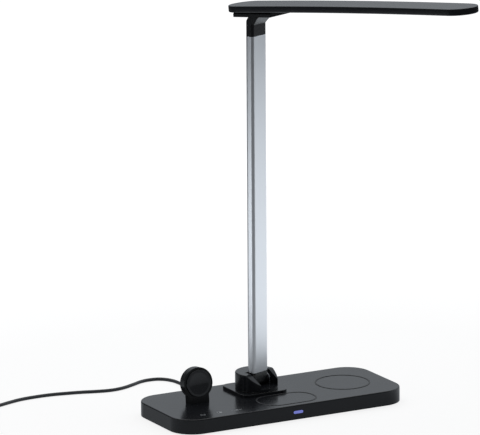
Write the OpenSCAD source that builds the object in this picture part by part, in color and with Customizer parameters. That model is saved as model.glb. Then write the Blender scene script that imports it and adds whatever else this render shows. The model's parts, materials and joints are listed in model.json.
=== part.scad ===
// Desk lamp on a wireless charging base.
// A slim LED bar tilts on a flat aluminium arm. The arm folds in a slotted
// turntable, and the turntable swivels on a long, low base that charges a
// phone, an earbuds case and a watch.
// Millimetres. Origin: middle of the base, on the table. +X runs along the base
// towards the phone pad, -Y is the front with the touch keys, +Z is up.

/* [Base] */
// Length of the base
base_len = 258; // [248:1:280]
// Depth of the base, front to back
base_depth = 106; // [104:1:130]
// Height of the base's top face above the table
base_height = 15.6; // [15:0.1:20]
// Radius of the base's corners in plan
base_corner = 25; // [16:1:34]
// Rounding of the base's top edge
base_edge = 1.2; // [0.4:0.1:2]
// Side wall of the base cover
base_wall = 2.4; // [1.6:0.1:3.2]
// Roof of the base cover
base_roof = 2.2; // [1.6:0.1:2.8]
// Thickness of the bottom cover
floor_t = 3; // [2.6:0.1:4]
// Thickness of the anti-slip mat
mat_t = 1.6; // [1.2:0.1:2]
// How far the mat stands out below the base
mat_proud = 0.8; // [0.4:0.1:1]
// Distance from the base's edge to the mat
mat_inset = 6; // [4:0.5:8]
// Thickness of the steel ballast plate
ballast_t = 4.6; // [3:0.1:5]

/* [Plinth and turntable] */
// Turntable axis, to the left of the base's middle
turn_left = 8.2; // [0:0.1:14]
// Turntable axis, behind the base's middle
turn_back = 15; // [13:0.5:17]
// Width of the raised plinth under the turntable
plinth_w = 52.2; // [47:0.1:60]
// Depth of the plinth
plinth_d = 50.6; // [50:0.1:54]
// Plinth's front edge, in front of the turntable's own front
plinth_lead = 0.1; // [0:0.1:2]
// Height of the plinth
plinth_h = 3; // [2:0.1:4]
// Corner radius of the plinth
plinth_corner = 8.5; // [4:0.5:12]
// Diameter of the turntable drum
drum_d = 43; // [42:0.5:46]
// Height of the drum
drum_h = 17; // [16.5:0.1:20]
// Rounding of the drum's top edge
drum_edge = 1.2; // [0.3:0.1:1.5]
// Slope of the bevel across the drum's front
bevel_angle = 36.5; // [28:0.5:38]
// Distance of the bevel's top line in front of the drum's axis
bevel_start = 3.4; // [2:0.1:5]
// Room between the arm and the slot's left wall
slot_side = 1.85; // [1.4:0.05:2]
// Room between the arm and the slot's rear wall
slot_behind = 1.3; // [1.2:0.1:2]
// Thickness of the drum's floor under the slot
drum_floor = 2.8; // [2.4:0.1:3.2]
// Swivel of the lamp as it stands, counter-clockwise from straight ahead
lamp_turn = 22.3; // [0:0.1:45]
// Outer diameter of the hollow swivel spindle
spindle_d = 14; // [12:0.5:16]
// Wall of the swivel spindle
spindle_wall = 2.5; // [2:0.1:3]
// Thickness of the plastic ring that the drum turns on
ring_t = 0.4; // [0.3:0.1:0.8]

/* [Arm] */
// Width of the arm's flat face
arm_w = 22.9; // [21:0.1:23.2]
// Thickness of the arm
arm_t = 9.6; // [9.4:0.1:10]
// Rounding of the arm's edges
arm_corner = 3.4; // [2:0.1:4]
// Wall of the aluminium tube
arm_wall = 1.2; // [1:0.1:1.6]
// Length of the aluminium tube
arm_len = 342.6; // [260:0.1:400]
// Arm's middle plane, in front of the drum's axis
arm_forward = 1.7; // [1.5:0.1:2.4]
// Length of the two plugs that hold the tube's ends
tenon_len = 22; // [14:1:30]

/* [Hinges] */
// Diameter of the lower hinge pin
low_pin_d = 5; // [4:0.1:5.4]
// Height of the lower pin above the slot's floor
low_pin_rise = 5.2; // [5:0.1:5.6]
// Radius of the arm foot's rounded end
foot_r = 4.7; // [4.3:0.1:4.8]
// Thickness of the steel friction leaf
leaf_t = 1.1; // [0.9:0.1:1.2]
// Radius of the friction leaf's round top
leaf_r = 5.9; // [5.4:0.1:6]
// Thickness of the disc spring pack
spring_t = 0.9; // [0.7:0.1:1]
// Thickness of the lower hinge nut
nut_t = 1.3; // [1:0.1:1.4]
// Height of the neck's straight part
neck_straight = 11.8; // [9:0.1:12]
// Height of the neck's rear edge, where it slopes forward
neck_heel = 15; // [13:0.1:16]
// Reach of the upper pin in front of the arm's middle plane
neck_reach = 7.8; // [7.4:0.1:9]
// Height of the upper pin above the tube's end
neck_rise = 17.2; // [17:0.1:20]
// Length of the neck's top in front of the upper pin
neck_nose = 4.9; // [4:0.1:5.2]
// Length of the neck's top behind the upper pin
neck_tail = 8.2; // [7:0.1:9]
// Distance of the neck's top and of the knuckle's round from the upper pin
ear_r = 3.45; // [3.2:0.05:3.5]
// Diameter of the upper hinge pin
up_pin_d = 3; // [2.5:0.1:3.4]
// Width of the plate's knuckle between the ears
knuckle_w = 8; // [6:0.1:10]

/* [Head] */
// Length of the lamp head
head_len = 297.7; // [230:0.1:330]
// Width of the lamp head
head_w = 38.7; // [36:0.1:44]
// Thickness of the lamp head
head_t = 6.5; // [6.3:0.1:8]
// Rise of the head's shallow arch
head_sag = 1.4; // [0.6:0.1:2.4]
// Length of the head behind the upper pin
head_back = 35.9; // [34:0.1:42]
// Tilt of the head above level as it stands
head_tilt = 6; // [0:0.1:10]
// Roof of the head's shell
head_roof = 1.4; // [1:0.1:1.6]
// Side wall of the head's shell
head_wall = 1.6; // [1.2:0.1:2]
// Thickness of the head's bottom cover
bezel_t = 1.2; // [1:0.1:1.4]
// Width of the frame round the light panel
bezel_w = 5.5; // [5.3:0.1:8]
// Start of the light panel, from the head's rear end
panel_start = 73; // [69:1:90]
// Thickness of the light guide
guide_t = 2.4; // [2:0.1:2.4]
// Number of LEDs along the strip
led_count = 24; // [12:1:30]
// Width of the hinge plate under the head
plate_w = 32; // [28:0.1:34]
// Length of the hinge plate
plate_len = 46.5; // [44:0.1:50]
// Distance from the head's rear end to the hinge plate
plate_inset = 12.9; // [12:0.1:14]
// Thickness of the hinge plate
plate_t = 4.4; // [4.2:0.1:5]
// Chamfer along the plate's upper edges
plate_chamfer = 1.3; // [0.8:0.1:1.6]

/* [Watch stand] */
// Middle of the stand, from the base's left end
stand_from_left = 49; // [44:0.5:56]
// Front face of the stand at its foot, behind the base's middle
stand_back = 1.6; // [0:0.1:4]
// Height of the charging face's middle above the base
stand_rise = 20; // [18:0.5:24]
// Radius of the stand's round head
stand_r = 16; // [15:0.5:18]
// Width of the stand's foot
stand_foot_w = 22; // [18:0.5:26]
// Thickness of the stand
stand_t = 9; // [8:0.5:12]
// Lean of the stand
stand_lean = 7; // [0:0.5:12]
// Radius of the charging puck
puck_r = 13.5; // [12:0.5:14]
// How far the puck stands out in front
puck_proud = 1.2; // [0.8:0.1:2]

/* [Pads and controls] */
// Middle of the phone pad, from the base's right end
phone_from_right = 46.5; // [44:0.5:60]
// Diameter of the phone pad's ring
phone_ring_d = 56; // [50:1:60]
// Middle of the earbuds pad, to the right of the base's middle
buds_right = 2.5; // [0:0.5:6]
// Middle of the earbuds pad, from the base's front edge
buds_from_front = 26; // [25:0.5:27]
// Length of the earbuds pad's ring
buds_len = 63; // [56:1:66]
// Depth of the earbuds pad's ring
buds_depth = 38.4; // [36:0.1:39]
// Corner radius of the earbuds pad's ring
buds_corner = 17.5; // [12:0.5:17.5]
// Width of both pad rings
pad_line = 1.6; // [1.2:0.1:2]
// How far the pad rings stand out
pad_proud = 0.3; // [0.2:0.1:0.5]
// Spacing of the touch keys
key_pitch = 19; // [16:0.5:20]
// First touch key, from the base's left end
key_from_left = 31; // [26:0.5:36]
// Touch keys, from the base's front edge
key_from_front = 14.5; // [12:0.5:18]
// Length of the indicator window in the front wall
light_len = 11; // [8:0.5:14]
// Height of the indicator window
light_h = 3.1; // [2:0.1:3.6]
// Middle of the indicator window, to the right of the base's middle
light_right = 1.9; // [-10:0.1:10]
// Power socket, from the base's left end
socket_from_left = 89; // [84:0.5:92]

/* [Cord] */
// Diameter of the power cord
cord_d = 3.5; // [3:0.1:3.6]
// Distance between neighbouring loops of the coil
loop_pitch = 4.1; // [4.1:0.1:4.6]
// Loops in each layer of the coil
loops = 4; // [3:1:4]
// Mean diameter of the coil, in cord diameters
coil_ratio = 11; // [10:0.5:12]

/* [Clearances] */
// Gap round covers, panels and boards
gap = 0.15; // [0.1:0.05:0.2]
// Radial clearance of pins and spindles that turn
run = 0.05; // [0.02:0.01:0.1]
// Gap between the drum, ears and plates that pass each other
pass = 0.35; // [0.3:0.05:0.4]

/* [Hidden] */
$fn = 96;
eps = 0.01;
far = 400;

// ---------- heights ----------
floor_top = mat_proud + floor_t;
roof_under = base_height - base_roof;
ballast_top = floor_top + ballast_t;
plinth_top = base_height + plinth_h;
drum_z = plinth_top + ring_t;
drum_top = drum_z + drum_h;
slot_z = drum_z + drum_floor;
low_pin_z = slot_z + low_pin_rise;
arm_z = drum_top + 0.4;
arm_top = arm_z + arm_len;
up_pin_z = arm_top + neck_rise;

// ---------- base plan ----------
turn_x = -turn_left;
turn_y = turn_back;
plinth_y = turn_y - drum_d / 2 - plinth_lead + plinth_d / 2;
stand_x = -base_len / 2 + stand_from_left;
phone_x = base_len / 2 - phone_from_right;
buds_y = -base_depth / 2 + buds_from_front;
key_x = -base_len / 2 + key_from_left;
key_y = -base_depth / 2 + key_from_front;
socket_x = -base_len / 2 + socket_from_left;
boss_inset = [17, 14];
boss_d = 7;
screw_d = 2.6;
screw_len = 9;
screw_head = [5.2, 1.2];
corner_bosses = [for (sx = [-1, 1], sy = [-1, 1])
    [sx * (base_len / 2 - boss_inset.x), sy * (base_depth / 2 - boss_inset.y)]];
middle_bosses = [for (sy = [-1, 1]) [40, sy * (base_depth / 2 - base_wall - boss_d / 2 - 1)]];
bosses = concat(corner_bosses, middle_bosses);
ballast = [base_len - 46, base_depth - 26];

// ---------- main board ----------
board = [74, 44, 1.2];
jack = [9, 11.6, 9];
board_room = 1;
board_min = [stand_x - 26, base_depth / 2 - base_wall - jack.y - board_room - board.y];
board_z = ballast_top + 0.8;
post_d = 5;
post_pin_d = 2.2;
inductor = [8, 1.8];
charge_chip = [9, 9, 1.2];
touch_chip = [7, 7, 1.2];
capacitor = [2.2, 3.4, 1];
led_driver = [9, 6, 1.8];
posts = [for (x = [4, board.x - 4], y = [4, board.y - 4]) board_min + [x, y]];

// ---------- swivel ----------
spindle_flange = [spindle_d + 10, 1.2];
nut_af = spindle_d + 6;
nut_h = 3.2;
spring_washer_t = 0.5;
spindle_low = roof_under - spring_washer_t - nut_h - 0.4;

// ---------- lower hinge ----------
foot_w = arm_w - 0.2;
leaf_x = foot_w / 2 + run;
spring_x = leaf_x + leaf_t;
nut_x = spring_x + spring_t;
slot_left = arm_w / 2 + slot_side;
slot_right = nut_x + nut_t + 0.25;
slot_rear = arm_t / 2 - arm_forward + slot_behind;
pin_head = [7, 1.5];
arm_screw = [2, 4.6, 4];
cheek_x = sqrt(pow(drum_d / 2, 2) - pow(arm_forward, 2));
pin_right = cheek_x - 2.2;
pin_left = -slot_left - 3.5;

// ---------- charging coils: outer and inner diameter, ferrite's side ----------
phone_coil_d = [44, 20];
phone_ferrite_w = 50;
buds_coil_d = [34, 16];
buds_ferrite_w = 36;
watch_coil_d = [22, 10];
coil_t = 1;
ferrite_t = 0.8;

// ---------- head ----------
under = ear_r + pass + plate_t;
head_front = head_len - head_back;
tip_r = head_w / 2;
arch_steps = 16;
screw_x = plate_w / 2 - 5;
screw_u = [plate_inset + 7, plate_inset + plate_len - 7];
panel_z = bezel_t + 0.5;
guide_edge = bezel_w - 1;
strip_x = head_w / 2 - head_wall - gap;
strip_t = 0.8;
led = [1.4, 3, 1.8];
nose_r = norm([ear_r, neck_nose]);

// ---------- watch puck: the dish in its face ----------
dish_r = 80;
dish_depth = 0.8;

// ---------- power socket and plug ----------
jack_z = floor_top + jack.z / 2;
jack_nose_d = 8;
jack_bore_d = 5.7;
barrel_d = 5.5;
barrel_len = 9.4;
plug_d = 9.6;
plug_len = 18;
relief_len = 10;
plug_y = base_depth / 2 + 0.2;

// ---------- cord route, chosen by hand ----------
cord_start = [socket_x, plug_y + plug_len + relief_len, jack_z];
cord_z = cord_d / 2 + 0.02;
cord_points = [cord_start + [0, 2, 0], cord_start + [0, 5, 0], [-40, 98, cord_z + 1.6], [-39, 111, cord_z],
    [-38, 125, cord_z], [-41, 139, cord_z], [-48, 147.5, cord_z], [-57, 150, cord_z],
    [-67, 149, cord_z], [-82, 142, cord_z], [-96, 136, cord_z], [-110, 134, cord_z],
    [-125, 137, cord_z], [-140, 142, cord_z], [-156, 146, cord_z], [-172, 149, cord_z],
    [-190, 149.5, cord_z], [-206, 148, cord_z], [-220, 144, cord_z], [-234, 139, cord_z]];
coil_mid = [-272, 156];
coil_angle = -72;
coil_r = coil_ratio * cord_d / 2;
coil_out = coil_r + loops * loop_pitch / 2;
layer_rise = cord_d + 0.5;
coil_dir = [sin(coil_angle), -cos(coil_angle), 0];
coil_edge = concat(coil_mid, 0) + coil_out * [cos(coil_angle), sin(coil_angle), 0];
tail_end = coil_edge + 96 * coil_dir + [0, 0, 11];

// ---------- shared shapes ----------
module rounded_rect(l, w, r) {
    square([l - 2 * r, w], center = true);
    square([l, w - 2 * r], center = true);
    for (sx = [-1, 1], sy = [-1, 1])
        translate([sx * (l / 2 - r), sy * (w / 2 - r)]) circle(r);
}

// Radial section of a slab whose top edge is rounded by e
module edge_profile(reach, h, e) {
    square([reach, h - e]);
    square([reach - e, h]);
    translate([reach - e, h - e]) circle(e);
}

// Rounded slab with a soft top edge, standing on z = 0
module soft_slab(l, w, r, h, e) {
    linear_extrude(h) square([l - 2 * r, w - 2 * r], center = true);
    for (side = [0, 180]) rotate(side) {
        translate([l / 2 - r, w / 2 - r, 0]) rotate([90, 0, 0])
            linear_extrude(w - 2 * r) edge_profile(r, h, e);
        translate([r - l / 2, w / 2 - r, 0]) rotate([90, 0, 90])
            linear_extrude(l - 2 * r) edge_profile(r, h, e);
        translate([l / 2 - r, w / 2 - r, 0])
            rotate_extrude(angle = 90) edge_profile(r, h, e);
        translate([r - l / 2, w / 2 - r, 0]) rotate(90)
            rotate_extrude(angle = 90) edge_profile(r, h, e);
    }
}

module tube(d_out, d_in, h) {
    difference() {
        cylinder(d = d_out, h = h);
        translate([0, 0, -1]) cylinder(d = d_in, h = h + 2);
    }
}

// A rod along X from x0 to x1
module rod_x(d, x0, x1) {
    translate([x0, 0, 0]) rotate([0, 90, 0]) cylinder(d = d, h = x1 - x0);
}

module pad_ring_shape(l, w, r) {
    difference() {
        rounded_rect(l, w, r);
        rounded_rect(l - 2 * pad_line, w - 2 * pad_line, r - pad_line);
    }
}

// Countersunk screw, its flat head up at z = 0
module screw(d, length, head_d) {
    translate([0, 0, -(head_d - d) / 2]) cylinder(d1 = d, d2 = head_d, h = (head_d - d) / 2);
    translate([0, 0, -length]) cylinder(d = d, h = length - (head_d - d) / 2 + eps);
}

// ---------- places of the moving groups ----------
module on_turntable() {
    translate([turn_x, turn_y, 0]) rotate(lamp_turn) children();
}

module on_arm() {
    on_turntable() translate([0, -arm_forward, 0]) children();
}

module on_head() {
    on_arm() translate([0, -neck_reach, up_pin_z]) rotate([-head_tilt, 0, 0]) children();
}

module on_stand() {
    translate([stand_x, stand_back, base_height]) rotate([-stand_lean, 0, 0]) children();
}

// ---------- base ----------
module base_cavity() {
    translate([0, 0, mat_proud - 1]) linear_extrude(roof_under - mat_proud + 1)
        rounded_rect(base_len - 2 * base_wall, base_depth - 2 * base_wall,
            base_corner - base_wall);
}

module buds_place() { translate([buds_right, buds_y, 0]) children(); }
module phone_place() { translate([phone_x, 0, 0]) children(); }

module base_top_cover() color([0.13, 0.13, 0.14]) {
    difference() {
        union() {
            translate([0, 0, mat_proud]) soft_slab(base_len, base_depth, base_corner,
                base_height - mat_proud, base_edge);
            translate([turn_x, plinth_y, base_height - 1])
                soft_slab(plinth_w, plinth_d, plinth_corner, plinth_h + 1, 0.6);
        }
        base_cavity();
        translate([turn_x, turn_y, 0]) cylinder(d = spindle_d + 2 * run, h = far);
        translate([light_right, 1 - base_depth / 2, roof_under - light_h / 2 - 3.6])
            rotate([90, 0, 0]) linear_extrude(base_wall + 3, center = true)
                rounded_rect(light_len, light_h, light_h / 2 - eps);
        translate([socket_x, base_depth / 2 + 1, jack_z]) rotate([90, 0, 0])
            cylinder(d = jack_nose_d + 2 * gap, h = base_wall + 2);
        for (x = [-6, 6]) translate([stand_x + x, stand_back + stand_t / 2, 0])
            cylinder(d = 3, h = far);
        buds_place() translate([0, 0, base_height - 0.6]) linear_extrude(far)
            pad_ring_shape(buds_len, buds_depth, buds_corner);
        phone_place() translate([0, 0, base_height - 0.6]) linear_extrude(far)
            pad_ring_shape(phone_ring_d, phone_ring_d, phone_ring_d / 2 - eps);
    }
    for (b = bosses) translate([b.x, b.y, floor_top])
        tube(boss_d, screw_d, roof_under - floor_top);
}

module base_bottom_cover() color([0.1, 0.1, 0.11]) {
    inset = 2 * (base_wall + gap);
    difference() {
        translate([0, 0, mat_proud]) linear_extrude(floor_t)
            rounded_rect(base_len - inset, base_depth - inset, base_corner - inset / 2);
        translate([0, 0, mat_proud - 1]) linear_extrude(mat_t - mat_proud + 1) mat_outline(0);
        for (b = bosses) translate([b.x, b.y, mat_t]) {
            cylinder(d = screw_d + 0.6, h = far);
            cylinder(d = screw_head[0] + 0.4, h = screw_head[1] + 0.1);
        }
    }
    for (p = posts) translate([p.x, p.y, floor_top]) {
        cylinder(d = post_d, h = board_z - floor_top);
        cylinder(d = post_pin_d, h = board_z + board.z - floor_top);
    }
}

module mat_outline(g) {
    rounded_rect(base_len - 2 * mat_inset - 2 * g, base_depth - 2 * mat_inset - 2 * g,
        base_corner - mat_inset - g);
}

module anti_slip_mat() color([0.07, 0.07, 0.07])
    linear_extrude(mat_t) mat_outline(gap);

module base_screws() color([0.5, 0.5, 0.52])
    for (b = bosses) translate([b.x, b.y, mat_t]) {
        difference() {
            cylinder(d = screw_head[0], h = screw_head[1]);
            translate([0, 0, -1]) cylinder(d = 2.2, h = 1.7, $fn = 6);
        }
        cylinder(d = screw_d, h = screw_len);
    }

module ballast_plate() color([0.45, 0.45, 0.47])
    difference() {
        translate([0, 0, floor_top]) linear_extrude(ballast_t) rounded_rect(ballast.x, ballast.y, 10);
        for (p = posts) translate([p.x, p.y, 0]) cylinder(d = post_d + 1, h = far);
        for (b = bosses) translate([b.x, b.y, 0]) cylinder(d = boss_d + 1, h = far);
        translate([socket_x - jack.x / 2 - board_room, board_min.y + board.y, 0])
            cube([jack.x + 2 * board_room, far, far]);
    }

module main_board() color([0.05, 0.3, 0.16])
    difference() {
        translate([board_min.x, board_min.y, board_z]) cube(board);
        for (p = posts) translate([p.x, p.y, 0]) cylinder(d = post_pin_d, h = far);
    }

module board_parts() color([0.12, 0.12, 0.13])
    translate([board_min.x, board_min.y, board_z + board.z]) {
        for (x = [12, 26]) translate([x, 30, 0]) cylinder(d = inductor[0], h = inductor[1]);
        translate([36, 24, 0]) cube(charge_chip);
        translate([14, 10, 0]) cube(touch_chip);
        for (i = [0:5]) translate([46 + 4 * i, 12, 0]) cube(capacitor);
        translate([60, 30, 0]) cube(led_driver);
    }

module touch_board() color([0.05, 0.3, 0.16])
    translate([key_x - 8, key_y - 6.5, roof_under - 1])
        cube([2 * key_pitch + 16, 13, 1]);

// Wound coil under the roof
module flat_coil(d) {
    translate([0, 0, roof_under - coil_t]) tube(d[0], d[1], coil_t);
}

// Square ferrite sheet under a coil
module ferrite_sheet(w) {
    translate([-w / 2, -w / 2, roof_under - coil_t - ferrite_t]) cube([w, w, ferrite_t]);
}

module phone_coil() color([0.72, 0.4, 0.2]) phone_place() flat_coil(phone_coil_d);

module phone_ferrite() color([0.2, 0.2, 0.2]) phone_place() ferrite_sheet(phone_ferrite_w);

module phone_pad_ring() color([0.3, 0.3, 0.31])
    phone_place() translate([0, 0, base_height - 0.6]) linear_extrude(0.6 + pad_proud)
        pad_ring_shape(phone_ring_d, phone_ring_d, phone_ring_d / 2 - eps);

module earbuds_coil() color([0.72, 0.4, 0.2]) buds_place() flat_coil(buds_coil_d);

module earbuds_ferrite() color([0.2, 0.2, 0.2]) buds_place() ferrite_sheet(buds_ferrite_w);

module earbuds_pad_ring() color([0.3, 0.3, 0.31])
    buds_place() translate([0, 0, base_height - 0.6]) linear_extrude(0.6 + pad_proud)
        pad_ring_shape(buds_len, buds_depth, buds_corner);

module indicator_window() color([0.8, 0.8, 1])
    translate([light_right, base_wall - base_depth / 2, roof_under - light_h / 2 - 3.6])
        rotate([90, 0, 0]) linear_extrude(base_wall)
            rounded_rect(light_len - 2 * gap, light_h - 2 * gap, light_h / 2 - gap - eps);

module power_socket() color([0.08, 0.08, 0.08])
    translate([socket_x, base_depth / 2, jack_z]) {
        difference() {
            union() {
                translate([-jack.x / 2, -base_wall - jack.y, -jack.z / 2]) cube(jack);
                rotate([90, 0, 0]) cylinder(d = jack_nose_d, h = base_wall + 1);
            }
            translate([0, 1, 0]) rotate([90, 0, 0]) cylinder(d = jack_bore_d, h = barrel_len + 1.6);
        }
        translate([0, -2, 0]) rotate([90, 0, 0]) cylinder(d = 1.9, h = barrel_len);
    }

// ---------- watch stand ----------
module stand_outline(grow) {
    translate([0, stand_rise]) circle(stand_r + grow);
    translate([-stand_foot_w / 2 - grow, -6]) square([stand_foot_w + 2 * grow, stand_rise + 6]);
}

module watch_stand() color([0.08, 0.08, 0.09])
    difference() {
        on_stand() difference() {
            translate([0, stand_t, 0]) rotate([90, 0, 0]) linear_extrude(stand_t) stand_outline(0);
            translate([0, 5, stand_rise]) rotate([90, 0, 0]) cylinder(r = puck_r + gap, h = 9);
        }
        translate([-far, -far, base_height - far]) cube([2 * far, 2 * far, far]);
        for (x = [-6, 6]) translate([stand_x + x, stand_back + stand_t / 2, 0])
            cylinder(d = 2.4, h = base_height + 6);
    }

module watch_puck() color([0.2, 0.2, 0.22])
    on_stand() translate([0, 0, stand_rise]) difference() {
        translate([0, 3, 0]) rotate([90, 0, 0]) cylinder(r = puck_r, h = 3 + puck_proud);
        translate([0, dish_depth - puck_proud - dish_r, 0]) sphere(r = dish_r, $fn = 180);
    }

module watch_coil() color([0.72, 0.4, 0.2])
    on_stand() translate([0, 5, stand_rise]) rotate([90, 0, 0])
        tube(watch_coil_d[0], watch_coil_d[1], 2 * coil_t);

module watch_stand_screws() color([0.5, 0.5, 0.52])
    for (x = [-6, 6]) translate([stand_x + x, stand_back + stand_t / 2, roof_under]) {
        translate([0, 0, -1.2]) cylinder(d = 5, h = 1.2);
        cylinder(d = 2.4, h = base_roof + 5.5);
    }

// ---------- swivel ----------
module turntable_ring() color([0.85, 0.85, 0.83])
    translate([turn_x, turn_y, plinth_top]) tube(drum_d - 2, spindle_flange.x + 1, ring_t);

// The drum: a slotted puck with a bevel across its front
module turntable_drum() color([0.12, 0.12, 0.13])
    on_turntable() difference() {
        translate([0, 0, drum_z]) rotate_extrude() edge_profile(drum_d / 2, drum_h, drum_edge);
        // bevel that lets the arm lean forward
        translate([0, -bevel_start, drum_top]) rotate([bevel_angle, 0, 0])
            translate([-drum_d, -2 * drum_d, 0]) cube([2 * drum_d, 2 * drum_d, drum_d]);
        // slot of the lower hinge, open to the front
        translate([-slot_left, -drum_d, slot_z])
            cube([slot_left + slot_right, drum_d + slot_rear, drum_h]);
        // pin holes: blind on the left, counterbored on the right
        translate([0, -arm_forward, low_pin_z]) {
            rod_x(low_pin_d, pin_left - 0.5, drum_d);
            rod_x(pin_head.x + 2 * gap, pin_right, drum_d);
        }
        // seat of the spindle and the way for the wires
        translate([0, 0, drum_z - 1]) cylinder(d = spindle_flange.x + 2 * gap,
            h = spindle_flange.y + 1);
        cylinder(d = spindle_d - 2 * spindle_wall, h = far);
        for (a = [30, 150, 270]) rotate(a) translate([spindle_d / 2 + 2.5, 0, 0])
            cylinder(d = 1.8, h = slot_z - 0.4);
    }

module swivel_spindle() color([0.6, 0.6, 0.62])
    on_turntable() difference() {
        union() {
            translate([0, 0, spindle_low]) cylinder(d = spindle_d, h = drum_z - spindle_low);
            translate([0, 0, drum_z]) cylinder(d = spindle_flange.x, h = spindle_flange.y);
        }
        cylinder(d = spindle_d - 2 * spindle_wall, h = far);
        for (a = [30, 150, 270]) rotate(a) translate([spindle_d / 2 + 2.5, 0, 0])
            cylinder(d = 2, h = far);
    }

module swivel_spring_washer() color([0.7, 0.7, 0.72])
    on_turntable() translate([0, 0, roof_under - spring_washer_t])
        tube(nut_af, spindle_d, spring_washer_t);

module swivel_nut() color([0.6, 0.6, 0.62])
    on_turntable() translate([0, 0, roof_under - spring_washer_t - nut_h]) difference() {
        cylinder(d = nut_af / cos(30), h = nut_h, $fn = 6);
        translate([0, 0, -1]) cylinder(d = spindle_d, h = nut_h + 2);
    }

module drum_screws() color([0.5, 0.5, 0.52])
    on_turntable() for (a = [30, 150, 270]) rotate(a) translate([spindle_d / 2 + 2.5, 0, drum_z])
        cylinder(d = 1.8, h = drum_floor - 0.6);

// ---------- lower hinge ----------
module at_low_pin() { on_arm() translate([0, 0, low_pin_z]) children(); }

module lower_hinge_pin() color([0.75, 0.75, 0.77])
    at_low_pin() {
        rod_x(low_pin_d, pin_left, pin_right);
        difference() {
            rod_x(pin_head.x, pin_right, pin_right + pin_head.y);
            rod_x(3, pin_right + 0.7, pin_right + 4, $fn = 6);
        }
    }

// Steel leaf beside the foot: a round top and a tab on the slot's floor
module friction_leaf() color([0.8, 0.8, 0.82])
    at_low_pin() difference() {
        union() {
            rod_x(2 * leaf_r, leaf_x, leaf_x + leaf_t);
            translate([leaf_x, -leaf_r, -low_pin_rise]) cube([leaf_t, 2 * leaf_r, low_pin_rise]);
            translate([leaf_x, -leaf_r, -low_pin_rise])
                cube([slot_right - leaf_x, 2 * leaf_r, 0.8]);
        }
        rod_x(low_pin_d, 0, far);
        translate([-far, -far, -low_pin_rise - far]) cube([2 * far, 2 * far, far]);
    }

module friction_springs() color([0.62, 0.62, 0.64])
    at_low_pin() difference() {
        union() {
            rod_x(8, spring_x, spring_x + spring_t);
            rod_x(8.6, -slot_left, -foot_w / 2 - run);
        }
        rod_x(low_pin_d, -far, far);
    }

module lower_hinge_nut() color([0.75, 0.75, 0.77])
    at_low_pin() difference() {
        translate([nut_x, 0, 0]) rotate([0, 90, 0]) cylinder(d = 8.2, h = nut_t, $fn = 6);
        rod_x(low_pin_d, 0, far);
    }

// ---------- arm ----------
module arm_outline(inset) {
    rounded_rect(arm_w - 2 * inset, arm_t - 2 * inset, max(arm_corner - inset, 0.6));
}

module tenon(z0) {
    translate([0, 0, z0]) linear_extrude(tenon_len) arm_outline(arm_wall + 0.1);
}

// Screw places near a tube end, on the arm's rear face
module arm_screw_places(z) {
    for (x = [-5, 5]) translate([x, arm_t / 2, z]) rotate([-90, 0, 0]) children();
}

module all_arm_screws() {
    arm_screw_places(arm_z + tenon_len / 2) children();
    arm_screw_places(arm_top - tenon_len / 2) children();
}

module arm_foot() color([0.1, 0.1, 0.11])
    on_arm() difference() {
        union() {
            translate([0, 0, low_pin_z]) rod_x(2 * foot_r, -foot_w / 2, foot_w / 2);
            translate([0, 0, low_pin_z]) linear_extrude(arm_z - low_pin_z) arm_outline(0.1);
            tenon(arm_z);
        }
        translate([0, 0, low_pin_z]) rod_x(low_pin_d + 2 * run, -far, far);
        translate([0, 0, arm_z - 1]) linear_extrude(far) square([6, 3], center = true);
        arm_screw_places(arm_z + tenon_len / 2) translate([0, 0, -5]) cylinder(d = arm_screw[0], h = 9);
    }

module arm_tube() color([0.78, 0.79, 0.8])
    on_arm() difference() {
        translate([0, 0, arm_z]) linear_extrude(arm_len) arm_outline(0);
        translate([0, 0, arm_z - 1]) linear_extrude(arm_len + 2) arm_outline(arm_wall);
        all_arm_screws() translate([0, 0, eps])
            screw(arm_screw[0] + 0.2, arm_screw[1], arm_screw[2] + 0.4);
    }

module arm_screws() color([0.5, 0.5, 0.52])
    on_arm() all_arm_screws() translate([0, 0, -0.05])
        screw(arm_screw[0], arm_screw[1], arm_screw[2]);

// Two-core wire inside the tube, from foot to neck
module arm_cable() color([0.3, 0.3, 0.3])
    on_arm() for (x = [-1, 1]) translate([x, 0, arm_z - 1]) cylinder(d = 1.8, h = arm_len + 8);

// ---------- neck and upper hinge ----------
// Side profile, as [forward, up] from the tube's end; its top lies along the hinge plate
along_top = [cos(head_tilt), sin(head_tilt)];
top_at = [neck_reach, neck_rise] + ear_r * [-along_top.y, along_top.x];
nose_at = top_at + neck_nose * along_top;
neck_profile = [[-arm_t / 2, neck_straight - 1], [arm_t / 2, neck_straight - 1],
    [arm_t / 2, neck_straight], nose_at, top_at - neck_tail * along_top, [-arm_t / 2, neck_heel]];

module neck_bracket() color([0.08, 0.08, 0.09])
    on_arm() difference() {
        union() {
            translate([0, 0, arm_top]) linear_extrude(neck_straight) arm_outline(0);
            intersection() {
                translate([0, 0, arm_top]) mirror([0, 1, 0]) rotate([90, 0, 90])
                    linear_extrude(arm_w, center = true) polygon(neck_profile);
                translate([0, (arm_t / 2 - nose_at.x) / 2, arm_top]) linear_extrude(far)
                    rounded_rect(arm_w, arm_t / 2 + nose_at.x, arm_corner);
            }
            tenon(arm_top - tenon_len);
        }
        // fork for the plate's knuckle
        translate([0, -neck_reach, up_pin_z]) {
            rotate([-head_tilt, 0, 0]) translate([-knuckle_w / 2 - gap, -far, -ear_r - pass])
                cube([knuckle_w + 2 * gap, far + ear_r + pass, far]);
            rod_x(up_pin_d, -arm_w / 2 + 1, far);
        }
        translate([0, 0, arm_top - tenon_len - 1]) linear_extrude(tenon_len + 8)
            square([6, 3], center = true);
        arm_screw_places(arm_top - tenon_len / 2) translate([0, 0, -5]) cylinder(d = arm_screw[0], h = 9);
    }

module upper_hinge_pin() color([0.75, 0.75, 0.77])
    on_arm() translate([0, -neck_reach, up_pin_z]) rod_x(up_pin_d, -arm_w / 2 + 1, arm_w / 2);

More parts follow.
